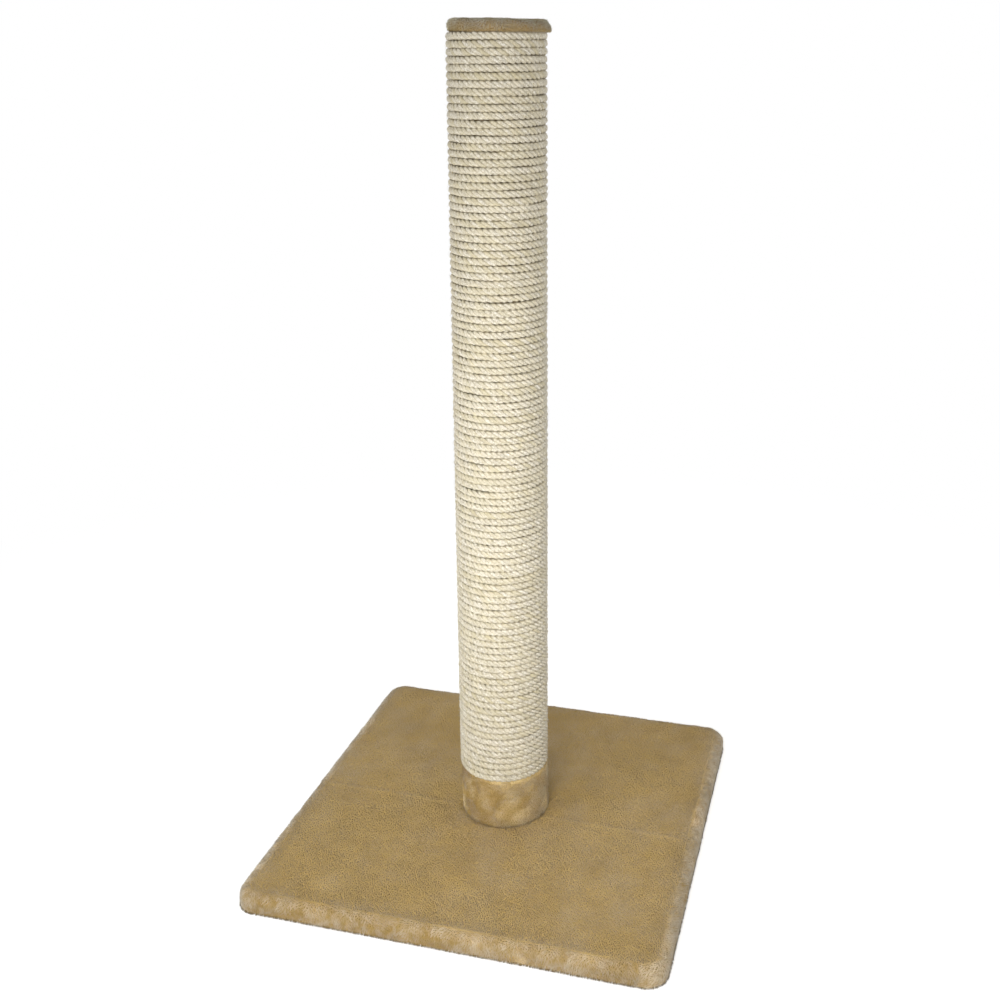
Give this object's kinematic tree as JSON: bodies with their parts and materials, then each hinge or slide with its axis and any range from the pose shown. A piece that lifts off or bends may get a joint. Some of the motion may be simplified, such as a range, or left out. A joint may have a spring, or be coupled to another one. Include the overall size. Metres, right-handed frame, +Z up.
{
  "type": "cat scratching post",
  "caption": "Free-standing cat scratching post: an upright tube wound with sisal rope, with a plush collar and cap, on a flat square plush-covered base.",
  "frame": {"origin": "middle of the base's underside, on the floor", "axes": "+Z up along the post, -Y towards the pictured front of the base, +X to its right"},
  "size_m": [0.5, 0.5, 0.9808],
  "materials": {
    "chipboard": "raw chipboard",
    "base_plush": "short-pile plush, brushed",
    "collar_plush": "short-pile plush, brushed",
    "cap_plush": "short-pile plush, brushed",
    "felt_black": "thin non-woven felt",
    "staple_wire": "zinc-plated wire",
    "bolt_steel": "zinc-plated",
    "plywood": "raw plywood",
    "cardboard": "wound grey-brown board",
    "sisal": "three-strand natural rope"
  },
  "bodies": {
    "root": {"base_board": "chipboard", "base_plush_cover": "base_plush", "underside_felt": "felt_black", "cover_staples": "staple_wire", "felt_staples": "staple_wire", "base_bolt": "bolt_steel", "base_washer": "bolt_steel", "post_tee_nut": "bolt_steel", "bottom_plug": "plywood", "bottom_plug_staples": "staple_wire", "post_tube": "cardboard", "collar_plush": "collar_plush", "sisal_rope": "sisal", "rope_end_staples": "staple_wire", "top_plug": "plywood", "top_plug_staples": "staple_wire", "cap_disc": "plywood", "cap_plush": "cap_plush", "cap_staples": "staple_wire", "cap_screws": "bolt_steel"}
  },
  "joints": []
}
